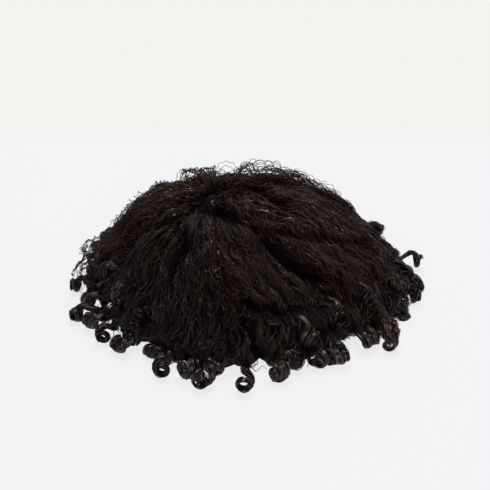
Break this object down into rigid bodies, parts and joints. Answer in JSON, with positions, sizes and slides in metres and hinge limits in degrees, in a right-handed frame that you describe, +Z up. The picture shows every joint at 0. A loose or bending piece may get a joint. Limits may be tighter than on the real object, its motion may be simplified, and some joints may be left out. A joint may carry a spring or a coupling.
{
  "type": "curly wig",
  "caption": "Short curly dark wig standing on a surface: a soft open cap under sections of crimped hair that part at an off-centre crown, fall all round and end in ringlets.",
  "frame": {"origin": "on the table, under the middle of the wig's bounding box", "axes": "+Z up, -Y towards the front as pictured, +X to its right"},
  "size_m": [0.379, 0.3786, 0.1105],
  "materials": {
    "hair": "glossy dark brown-black hair",
    "cap_net": "matt black net"
  },
  "bodies": {
    "root": {"wig_cap": "cap_net", "crown_whorl": "hair", "right_sweep": "hair", "back_right_fall": "hair", "back_fall": "hair", "left_sweep": "hair", "left_fan": "hair", "front_fall": "hair", "front_swoop": "hair"}
  },
  "joints": []
}
